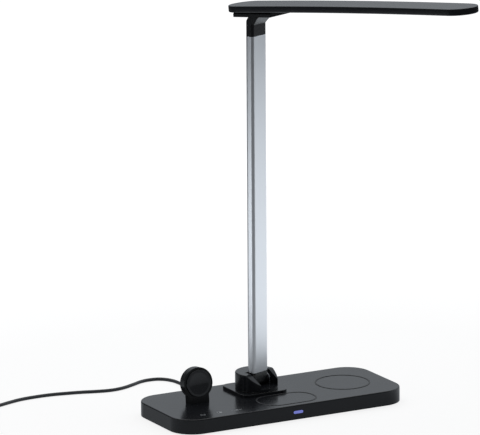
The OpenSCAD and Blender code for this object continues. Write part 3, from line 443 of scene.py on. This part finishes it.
# %% Where the arm and its upper hinge are
PIN_OF = {joint["name"]: joint for joint in frame["joints"]}
along_arm = Vector(PIN_OF["arm_fold"]["axis"]).normalized()
arm_axes = Matrix((along_arm, (-along_arm.y, along_arm.x, 0), (0, 0, 1))).transposed().to_4x4()
lower_pin, upper_pin = Vector(PIN_OF["arm_fold"]["pos_m"]), Vector(PIN_OF["head_tilt"]["pos_m"])
# x runs across the arm and y towards its back, from the arm's foot and from the upper pin
ARM_PLACE = Matrix.Translation((lower_pin.x, lower_pin.y, 0)) @ arm_axes
PIN_PLACE = Matrix.Translation(upper_pin) @ arm_axes
PIN_LINE = PIN_PLACE @ Matrix.Rotation(math.radians(90), 4, "Y")
print("arm turned by", round(math.degrees(math.atan2(along_arm.y, along_arm.x)), 1), "degrees")


# %% Helpers: a block with round edges, and a slice
def pulled(shape, faces, way, keep_start=False):
    """Extrudes faces by a vector in millimetres."""
    grown = bmesh.ops.extrude_face_region(shape, geom=faces, use_keep_orig=keep_start)["geom"]
    moved = [part for part in grown if isinstance(part, bmesh.types.BMVert)]
    bmesh.ops.translate(shape, verts=moved, vec=Vector(way) * MM)


def rounded_block(width, back, front, corner, low, high):
    """A block with round upright edges; back and front count forwards from the arm's middle."""
    shape = bmesh.new()
    middle = Matrix.Translation(Vector((0, -(back + front) / 2, low)) * MM)
    bmesh.ops.create_grid(shape, x_segments=1, y_segments=1, size=0.5 * MM,
                          matrix=middle @ Matrix.Diagonal((width, front - back, 1, 1)))
    bmesh.ops.bevel(shape, geom=shape.verts[:], offset=corner * MM, offset_type="OFFSET", segments=10,
                    profile=0.5, affect="VERTICES", material=-1)
    pulled(shape, shape.faces[:], (0, 0, high - low), keep_start=True)
    bmesh.ops.recalc_face_normals(shape, faces=shape.faces)
    return shape


def slice_off(shape, point, normal):
    """Cuts away what lies on the normal's side of a plane, and closes the cut."""
    everything = shape.verts[:] + shape.edges[:] + shape.faces[:]
    cut = bmesh.ops.bisect_plane(shape, geom=everything, dist=1e-7, plane_co=Vector(point) * MM,
                                 plane_no=Vector(normal).normalized(), clear_outer=True)["geom_cut"]
    rim = [part for part in cut if isinstance(part, bmesh.types.BMEdge)]
    bmesh.ops.edgeloop_fill(shape, edges=rim)


print("helpers: pulled, rounded_block, slice_off")

# %% The neck's measures
ARM_WIDTH, ARM_THICK, ARM_CORNER = 22.9, 9.6, 3.4
ARM_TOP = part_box("arm_tube")[1][2] / MM
HEAD_TILT = math.radians(6)
# four corners of its side view: forwards from the arm's middle, and up from the tube's end
BEND, NOSE = (4.8, 11.8), (12.31, 21.14)
REAR_BEND, REAR_TOP = (-4.8, 13.6), (-0.2, 19.83)
BLOCK_TOP = 24                           # the neck is cut from a block this high
SEAM = 0.01                              # the sloped part starts this much inside the stem
CORNER_START = 9.05                      # its corners are cut from here, either side of the middle,
CORNER_WAY = (-1.0, -1.1)                # and face this far forwards and down for one sideways
NECK_EDGE, NECK_CRISP = 0.25, 25
print("tube ends at", round(ARM_TOP, 1), "mm, and the neck leans forward by", NOSE[0] - BEND[0], "mm")

# %% Cut the neck from a block
neck = rounded_block(ARM_WIDTH, -ARM_THICK / 2, NOSE[0], ARM_CORNER, ARM_TOP + BEND[1] - SEAM,
                     ARM_TOP + BLOCK_TOP)
rise, run = NOSE[1] - BEND[1], NOSE[0] - BEND[0]
slice_off(neck, (0, -BEND[0], ARM_TOP + BEND[1]), (0, -rise, -run))
slice_off(neck, (0, -NOSE[0], ARM_TOP + NOSE[1]), (0, math.sin(HEAD_TILT), math.cos(HEAD_TILT)))
rise, run = REAR_TOP[1] - REAR_BEND[1], REAR_TOP[0] - REAR_BEND[0]
slice_off(neck, (0, -REAR_BEND[0], ARM_TOP + REAR_BEND[1]), (0, rise, run))
for side in (-1, 1):                           # the slope's lower corners run into the round edges
    slice_off(neck, (side * CORNER_START, -BEND[0], ARM_TOP + BEND[1]), (side, *CORNER_WAY))
bmesh.ops.bevel(neck, geom=[e for e in neck.edges if e.calc_face_angle(0) > math.radians(NECK_CRISP)],
                offset=NECK_EDGE * MM, offset_type="OFFSET", segments=2, profile=0.5, affect="EDGES",
                material=-1, clamp_overlap=True)
stem = rounded_block(ARM_WIDTH, -ARM_THICK / 2, ARM_THICK / 2, ARM_CORNER, ARM_TOP, ARM_TOP + BEND[1])
stem_mesh = bpy.data.meshes.new("stem")
stem.to_mesh(stem_mesh)
stem.free()
neck.from_mesh(stem_mesh)
bpy.data.meshes.remove(stem_mesh)
bmesh.ops.transform(neck, matrix=ARM_PLACE, verts=neck.verts)
neck_piece = new_piece(neck, "neck_moulded", BLACK_ABS, "black_plastic", "arm", "neck_bracket")
print("neck:", len(neck_piece.data.polygons), "faces")

# %% [markdown]
# ## The hinge plate
# The nose turns in a round pocket under the plate. In the CAD a small knuckle hangs in the
# pocket's middle and the nose has a fork for it; on the real lamp the joint looks closed. So the
# dressed plate has the pocket right across, cut with a cylinder round the hinge's pin, and the
# pin itself is dark and hidden in the nose.

# %% The plate and its pocket
POCKET_RADIUS, KNUCKLE_HALF = 6.34, 4.1
plate_piece = dressed("hinge_plate", BLACK_ABS, 0.3)
pocket = turned([(0, -KNUCKLE_HALF), (POCKET_RADIUS, -KNUCKLE_HALF), (POCKET_RADIUS, KNUCKLE_HALF),
                 (0, KNUCKLE_HALF)], PIN_LINE, 96)
pocket_mesh = bpy.data.meshes.new("pocket")
pocket.to_mesh(pocket_mesh)
pocket.free()
cutter = bpy.data.objects.new("pocket_cutter", pocket_mesh)
bpy.context.scene.collection.objects.link(cutter)
carve = plate_piece.modifiers.new("pocket", "BOOLEAN")
carve.operation, carve.solver, carve.object = "DIFFERENCE", "EXACT", cutter
bpy.context.view_layer.update()
carved = bpy.data.meshes.new_from_object(plate_piece.evaluated_get(bpy.context.evaluated_depsgraph_get()))
plate_piece.modifiers.remove(carve)
plate_piece.data = carved
bpy.data.objects.remove(cutter)
print("plate:", len(carved.polygons), "faces")

# %% The pin in the nose
PIN_RADIUS, PIN_LEFT, PIN_RIGHT, PIN_EDGE = 0.9, -10.4, 11.3, 0.2
pin_profile = [(0, PIN_LEFT), (PIN_RADIUS - PIN_EDGE, PIN_LEFT), (PIN_RADIUS, PIN_LEFT + PIN_EDGE),
               (PIN_RADIUS, PIN_RIGHT - PIN_EDGE), (PIN_RADIUS - PIN_EDGE, PIN_RIGHT), (0, PIN_RIGHT)]
new_piece(turned(pin_profile, PIN_LINE, 32), "upper_hinge_pin_dark", PIN_STEEL, "steel", "arm",
          "upper_hinge_pin")
print("pin:", round(PIN_RIGHT - PIN_LEFT, 1), "mm long")

# %% [markdown]
# ## The head
# The head is a long shell with two round ends, 38.7 mm wide and only 6.5 mm thick, arched along
# its length by 1.4 mm. Its lower edge has a small chamfer. We draw its outline with two half
# spins, extrude it, hollow it from below and bevel both rims while the shape is still flat,
# slice it into short lengths and only then bend it into the arch.

# %% The head's measures
HEAD_WIDE, HEAD_LONG, HEAD_THICK, HEAD_SAG = 38.7, 297.7, 6.5, 1.4
HEAD_REAR, HEAD_UNDER = 35.9, 8.2              # how far it reaches behind and lies above the pin
HEAD_WALL, HEAD_ROOF = 1.6, 1.2
HEAD_CHAMFER, HEAD_EDGE = 0.9, 0.5
HEAD_LENGTHS = 32                              # short straight lengths that make the arch
HEAD_PLACE = PIN_PLACE @ Matrix.Rotation(-HEAD_TILT, 4, "X")
end_radius = HEAD_WIDE / 2
print("head:", HEAD_LONG, "by", HEAD_WIDE, "by", HEAD_THICK, "mm")

# %% The head's outline, made thick
shell = bmesh.new()
for side, middle in ((1, HEAD_REAR - end_radius), (-1, HEAD_REAR - HEAD_LONG + end_radius)):
    first = shell.verts.new(Vector((side * end_radius, middle, 0)) * MM)
    bmesh.ops.spin(shell, geom=[first], cent=Vector((0, middle, 0)) * MM, axis=(0, 0, 1),
                   dvec=(0, 0, 0), angle=math.pi, steps=40)
ends = [v for v in shell.verts if len(v.link_edges) == 1]
for side in (-1, 1):
    shell.edges.new([v for v in ends if v.co.x * side > 0])
outline = bmesh.ops.contextual_create(shell, geom=shell.edges[:])["faces"]
pulled(shell, outline, (0, 0, HEAD_THICK), keep_start=True)
bmesh.ops.recalc_face_normals(shell, faces=shell.faces)
print("outline:", len(shell.verts) // 2, "points")

# %% Hollow it from below and bevel its rims
walls = {f for f in shell.faces if abs(f.normal.z) < 0.1}
under = [f for f in shell.faces if f.normal.z < -0.9]
bmesh.ops.inset_region(shell, faces=under, thickness=HEAD_WALL * MM, use_even_offset=True)
pulled(shell, under, (0, 0, HEAD_THICK - HEAD_ROOF))
bmesh.ops.delete(shell, geom=under, context="FACES_ONLY")
rims = [[e for e in shell.edges if walls.intersection(e.link_faces)
         and all(abs(v.co.z - level * MM) < 1e-6 for v in e.verts)] for level in (0, HEAD_THICK)]
for rim, size, steps in zip(rims, (HEAD_CHAMFER, HEAD_EDGE), (2, 3)):
    bmesh.ops.bevel(shell, geom=rim, offset=size * MM, offset_type="OFFSET", segments=steps,
                    profile=0.5, affect="EDGES", material=-1)
print("rims:", [len(rim) for rim in rims], "edges, and open:", sum(e.is_boundary for e in shell.edges))

# %% Slice it and bend it into its arch
for i in range(1, HEAD_LENGTHS):
    along = HEAD_REAR - HEAD_LONG * i / HEAD_LENGTHS
    bmesh.ops.bisect_plane(shell, geom=shell.verts[:] + shell.edges[:] + shell.faces[:], dist=1e-7,
                           plane_co=(0, along * MM, 0), plane_no=(0, 1, 0))
for v in shell.verts:
    share = (HEAD_REAR - v.co.y / MM) / HEAD_LONG
    v.co.z += (HEAD_UNDER + 4 * HEAD_SAG * share * (1 - share)) * MM
bmesh.ops.transform(shell, matrix=HEAD_PLACE, verts=shell.verts)
print("shell:", round(shell.calc_volume() / MM ** 3), "cubic millimetres of plastic")
new_piece(shell, "head_shell_moulded", PAINT, "housing", "head", "head_shell")

# %% [markdown]
# ## Plug, adapter and tie
# A plug's strain relief is a row of soft rings: they let the lead bend, but never sharply.
# Such a round part is easiest as a profile spun round an axis, like clay on a wheel.

# %% A turned plug with a ribbed strain relief
PLUG_LONG, GRIP_RADIUS = 28, 4.8
towards_back = (Matrix.Translation((Vector(LEAD_EXIT) - Vector((0, PLUG_LONG, 0))) * MM)
                @ Matrix.Rotation(math.radians(-90), 4, "X"))
plug_profile = [(0, 0), (4.1, 0), (4.65, 0.25), (GRIP_RADIUS, 0.8), (GRIP_RADIUS, 3)]
for ring in range(5):                     # finger grooves round the grip
    start = 3.6 + 2.1 * ring
    plug_profile += [(GRIP_RADIUS, start), (4.45, start + 0.35), (4.45, start + 0.75),
                     (GRIP_RADIUS, start + 1.1)]
plug_profile += [(GRIP_RADIUS, 14.6), (4.5, 16.2), (3.9, 17.6), (3.6, 18)]
for ring in range(6):                     # soft rings of the strain relief
    start = 18.4 + 1.5 * ring
    outer, inner = 3.4 - 0.16 * ring, 2.75 - 0.13 * ring
    plug_profile += [(outer, start), (outer, start + 0.8), (inner, start + 0.9), (inner, start + 1.4)]
plug_profile += [(2.35, PLUG_LONG - 0.5), (2.25, PLUG_LONG), (0, PLUG_LONG)]
plug = new_piece(turned(plug_profile, towards_back), "power_plug_moulded", BLACK_ABS,
                 "black_plastic", "base", "power_plug")
adapter = dressed("adapter_body", BLACK_ABS, 0.9, 3)
print("plug:", len(plug.data.vertices), "points")

# %% The tie round the coil
# a flat hook-and-loop strap that goes once round both layers
TIE_WIDE, TIE_HIGH, TIE_CORNER = 17.0, 8.1, 3.2
STRAP_WIDE, STRAP_THICK = 9.0, 0.7
TIE_ANGLE = math.radians(110)
strap = bmesh.new()
bmesh.ops.create_grid(strap, x_segments=1, y_segments=1, size=0.5 * MM,
                      matrix=Matrix.Diagonal((TIE_WIDE, TIE_HIGH, 1, 1)))
bmesh.ops.bevel(strap, geom=strap.verts[:], offset=TIE_CORNER * MM, offset_type="OFFSET", segments=6,
                profile=0.5, affect="VERTICES", material=-1)
bmesh.ops.delete(strap, geom=strap.faces[:], context="FACES_ONLY")
wall = bmesh.ops.extrude_edge_only(strap, edges=strap.edges[:])["geom"]
moved = [part for part in wall if isinstance(part, bmesh.types.BMVert)]
bmesh.ops.translate(strap, verts=moved, vec=(0, 0, STRAP_WIDE * MM))
bmesh.ops.recalc_face_normals(strap, faces=strap.faces)
bmesh.ops.translate(strap, verts=strap.verts, vec=(0, 0, -STRAP_WIDE / 2 * MM))
out = Vector((math.cos(TIE_ANGLE), math.sin(TIE_ANGLE), 0))
place = COIL_CENTRE + out * (COIL_OUTER - 1.5 * LOOP_PITCH) + Vector((0, 0, (TIE_HIGH + STRAP_THICK) / 2))
upwards = Vector((0, 0, 1))
turned_up = Matrix((out, upwards, out.cross(upwards))).transposed().to_4x4()
bmesh.ops.transform(strap, matrix=Matrix.Translation(place * MM) @ turned_up, verts=strap.verts)
tie = new_piece(strap, "lead_tie", MAT_RUBBER, "mat_rubber", "base")
thick = tie.modifiers.new("strap", "SOLIDIFY")
thick.thickness, thick.offset = STRAP_THICK * MM, 0.0
print("tie:", TIE_WIDE, "by", TIE_HIGH, "mm")

# %% What the lead is
lead_curve.materials.append(CORD_PVC)
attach(lead, "base")
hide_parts("power_cord", "cord_coil", "cord_tail")
print("lead:", LEAD_THICK, "mm thick, with", adapter.name, "at its end")

# %% [markdown]
# ## The touch keys
# The base has no buttons. Three printed signs mark the places to touch: on and off, the colour
# of the light, and its brightness. They are plain signs that any lamp could have. Screen ink is
# some hundredths of a millimetre thick, so each sign is a flat outline with a wall that thin.

# %% Print the three signs
def ink_arc(shape, centre, radius, width, start, end):
    """A bent stroke: a short line across it is spun about the centre."""
    middle = Vector((*centre, 0)) * MM
    way = Vector((math.cos(math.radians(start)), math.sin(math.radians(start)), 0))
    ends = [shape.verts.new(middle + way * (radius + side * width / 2) * MM) for side in (-1, 1)]
    across = shape.edges.new(ends)
    full = abs(end - start) >= 360
    bmesh.ops.spin(shape, geom=ends + [across], cent=middle, axis=(0, 0, 1), dvec=(0, 0, 0),
                   angle=math.radians(end - start), steps=36 if full else 20, use_merge=full)


def ink_bar(shape, centre, length, width, angle):
    """A straight stroke."""
    place = Matrix.Translation(Vector((*centre, 0)) * MM) @ Matrix.Rotation(math.radians(angle), 4, "Z")
    bmesh.ops.create_grid(shape, x_segments=1, y_segments=1, size=0.5 * MM,
                          matrix=place @ Matrix.Diagonal((length, width, 1, 1)))


BASE_TOP, INK = 15.6, 0.06
ROW = -38.5                                # the three signs stand in one row
SWITCH, TONE, DIMMER = -98, -79.5, -60
signs = bmesh.new()
# on and off: an open ring with a bar in its gap
ink_arc(signs, (SWITCH, ROW), 2.3, 0.5, 125, 415)
ink_bar(signs, (SWITCH, ROW + 2.2), 2.4, 0.5, 90)
# colour of the light: a ring with half of it filled
ink_arc(signs, (TONE, ROW), 2.4, 0.5, 0, 360)
ink_arc(signs, (TONE, ROW), 1.05, 2.1, -90, 90)
# brightness: a dot above a wide arc
ink_arc(signs, (DIMMER, ROW), 0.5, 0.98, 0, 360)
ink_arc(signs, (DIMMER, ROW + 6.5), 8.2, 0.7, 228, 312)
bmesh.ops.remove_doubles(signs, verts=signs.verts, dist=0.01 * MM)
bmesh.ops.translate(signs, verts=signs.verts, vec=(0, 0, (BASE_TOP - 0.01) * MM))
bmesh.ops.recalc_face_normals(signs, faces=signs.faces)
bmesh.ops.solidify(signs, geom=signs.faces[:], thickness=-INK * MM)
touch_signs = new_piece(signs, "touch_key_signs", INK_GREY, "pad_line", "base")
print("signs:", len(touch_signs.data.polygons), "faces")

# %% [markdown]
# ## A white studio
# The lamp stands on pale paper in a plain studio, lit as dark glossy plastic is: two large
# panels at its sides make long reflections, the wall behind is a bright grey that the flat tops
# mirror, and the room in front stays dim, so that the fronts stay nearly black. Panels and wall
# are bright directions of the world. The paper carries painted light for whatever mirrors it: a
# glow that only mirrored rays see, bright in front of the panels and dark further out. A softbox
# above gives the soft shadow. To the camera the room is white and the paper nearly so.

# %% The panels at the sides
# each one: the way to it, and the angles from there where its light starts to fade and ends
RIGHT_PANEL = (Vector((1, 0, 0)), 38, 56)
LEFT_PANEL = (Vector((-0.998, 0.064, 0)), 14, 30)
COOL_WHITE = "F1F8FF"                      # the panels are a little bluer than the paper


def side_light(tree, direction, way, inner, outer, brightness):
    """Full light within the inner angle from a way, none past the outer one, in degrees."""
    facing = node(tree, "VectorMath", {0: direction, 1: way}, operation="DOT_PRODUCT").outputs["Value"]
    return node(tree, "MapRange", {"Value": facing, "From Min": math.cos(math.radians(outer)),
                                   "From Max": math.cos(math.radians(inner)), "To Max": brightness},
                interpolation_type="SMOOTHSTEP").outputs["Result"]


print("panels: light over", 2 * RIGHT_PANEL[2], "degrees at the right and", 2 * LEFT_PANEL[2], "at the left")

# %% The paper on the floor
floor_mesh = bpy.data.meshes.new("floor")
sheet = bmesh.new()
bmesh.ops.create_grid(sheet, x_segments=1, y_segments=1, size=20)
sheet.to_mesh(floor_mesh)
sheet.free()
floor = bpy.data.objects.new("floor", floor_mesh)
bpy.context.scene.collection.objects.link(floor)
paper_finish = bpy.data.materials.new("pale_studio_paper")
floor_mesh.materials.append(paper_finish)
paper_finish.use_nodes = True
tree = paper_finish.node_tree
tree.nodes.clear()
print("paper:", [round(v) for v in floor.dimensions], "m")

# %% Painted light on the paper, seen only in mirrors
place = node(tree, "TexCoord").outputs["Object"]
from_lamp = node(tree, "VectorMath", {0: place}, operation="LENGTH").outputs["Value"]
outwards = node(tree, "VectorMath", {0: place}, operation="NORMALIZE").outputs["Vector"]


def painted_patch(panel, brightness, start, full, fade, end):
    """Painted light on the paper in front of a panel, seen only in mirrors: bright from start to end, metres from
    the lamp.
    """
    light = side_light(tree, outwards, *panel, brightness)
    for low, high in ((start, full), (end, fade)):
        light = node(tree, "MapRange", {"Value": from_lamp, "From Min": low, "From Max": high,
                                        "To Max": light}, interpolation_type="SMOOTHSTEP").outputs["Result"]
    return light


lit = node(tree, "Math", {0: painted_patch(RIGHT_PANEL, 1.20, 0.05, 0.30, 1.62, 1.90),
                          1: painted_patch(LEFT_PANEL, 1.75, 0.08, 0.45, 1.15, 1.42)}, operation="MAXIMUM")
# painted shade: for mirrors, the rest of the paper glows grey near the lamp and nearly black where the room starts
painted_room_shade = 0.40
for low, high, level in ((0.12, 0.45, 0.28), (1.25, 1.65, 0.03)):
    painted_room_shade = node(tree, "MapRange", {"Value": from_lamp, "From Min": low, "From Max": high,
                                    "To Min": painted_room_shade, "To Max": level},
                 interpolation_type="SMOOTHSTEP").outputs["Result"]
painted_mirror_glow = node(tree, "Math", {0: lit.outputs[0], 1: painted_room_shade}, operation="MAXIMUM").outputs[0]
print("mirrored paper:", len(tree.nodes), "nodes")

# %% What each kind of ray meets
# the paper's own tone comes first, and then how much white is added to it; for mirrors that white is the painted
# light above
ray = node(tree, "LightPath").outputs
paper_tone = node(tree, "Mix", {0: ray["Is Camera Ray"], 6: linear("DADADA"), 7: linear("909090")},
                  data_type="RGBA").outputs[2]
paper_tone = node(tree, "Mix", {0: ray["Is Glossy Ray"], 6: paper_tone, 7: linear("505050")},
                  data_type="RGBA").outputs[2]
paper = node(tree, "BsdfDiffuse", {"Color": paper_tone})
whiter = node(tree, "MapRange", {"Value": from_lamp, "From Min": 0.35, "From Max": 1.2, "To Min": 0.82,
                                 "To Max": 0.97}).outputs["Result"]
# painted light and shade: mirrors see the painted glow, glass sees an even half white, the camera nearly white
glow = node(tree, "Mix", {0: ray["Is Glossy Ray"], 3: painted_mirror_glow}, data_type="FLOAT").outputs[0]
glow = node(tree, "Mix", {0: ray["Is Transmission Ray"], 2: glow, 3: 0.5}, data_type="FLOAT").outputs[0]
glow = node(tree, "Mix", {0: ray["Is Camera Ray"], 2: glow, 3: whiter}, data_type="FLOAT").outputs[0]
glow_tone = node(tree, "Mix", {0: ray["Is Camera Ray"], 6: linear(COOL_WHITE), 7: linear("FFFFFF")},
                 data_type="RGBA").outputs[2]
glow = node(tree, "Emission", {"Color": glow_tone, "Strength": glow})
both = node(tree, "AddShader", {0: paper.outputs[0], 1: glow.outputs[0]})
node(tree, "OutputMaterial", {"Surface": both.outputs[0]})
print("paper:", len(tree.nodes), "nodes")

# %% The room
world = bpy.data.worlds.new("studio")
bpy.context.scene.world = world
world.use_nodes = True
tree = world.node_tree
tree.nodes.clear()
direction = node(tree, "TexCoord").outputs["Generated"]
height = node(tree, "SeparateXYZ", {"Vector": direction}).outputs["Z"]
# the panels at the sides hang above the table's level, the wall behind reaches down to it
sides = node(tree, "Math", {0: side_light(tree, direction, *RIGHT_PANEL, 1.0),
                            1: side_light(tree, direction, *LEFT_PANEL, 1.3)},
             operation="MAXIMUM").outputs[0]
hung = node(tree, "MapRange", {"Value": height, "From Min": 0.10, "From Max": 0.35},
            interpolation_type="SMOOTHSTEP").outputs["Result"]
sides = node(tree, "Math", {0: sides, 1: hung}, operation="MULTIPLY").outputs[0]
rising = node(tree, "MapRange", {"Value": height, "From Min": 0.08, "From Max": 0.26, "To Min": 0.43,
                                 "To Max": 0.60}).outputs["Result"]
behind = side_light(tree, direction, level_forward, 25, 45, rising)
shade = 0.14                               # the rest of the room
for brighter in (sides, behind):
    shade = node(tree, "Math", {0: brighter, 1: shade}, operation="MAXIMUM").outputs[0]
seen = node(tree, "LightPath").outputs["Is Camera Ray"]
shade = node(tree, "Mix", {0: seen, 2: shade, 3: 1.0}, data_type="FLOAT").outputs[0]
tone = node(tree, "Mix", {0: seen, 6: linear(COOL_WHITE), 7: linear("FFFFFF")}, data_type="RGBA").outputs[2]
room = node(tree, "Background", {"Color": tone, "Strength": shade})
node(tree, "OutputWorld", {"Surface": room.outputs[0]})
print("room:", len(tree.nodes), "nodes")

# %% The softbox above
SOFTBOX_PLACE, LAMP_MIDDLE = Vector((0.09806, 0.49029, 1.5)), Vector((0, 0, 0.18))
softbox = bpy.data.lights.new("overhead_softbox", "AREA")
softbox.size, softbox.energy = 2.2, 14
hanging = bpy.data.objects.new("overhead_softbox", softbox)
hanging.location = SOFTBOX_PLACE
hanging.rotation_euler = (LAMP_MIDDLE - SOFTBOX_PLACE).to_track_quat("-Z", "Y").to_euler()
hanging.visible_camera = False
bpy.context.scene.collection.objects.link(hanging)
bpy.context.scene.view_settings.view_transform = "Standard"
print("softbox:", softbox.size, "m wide,", softbox.energy, "watts")
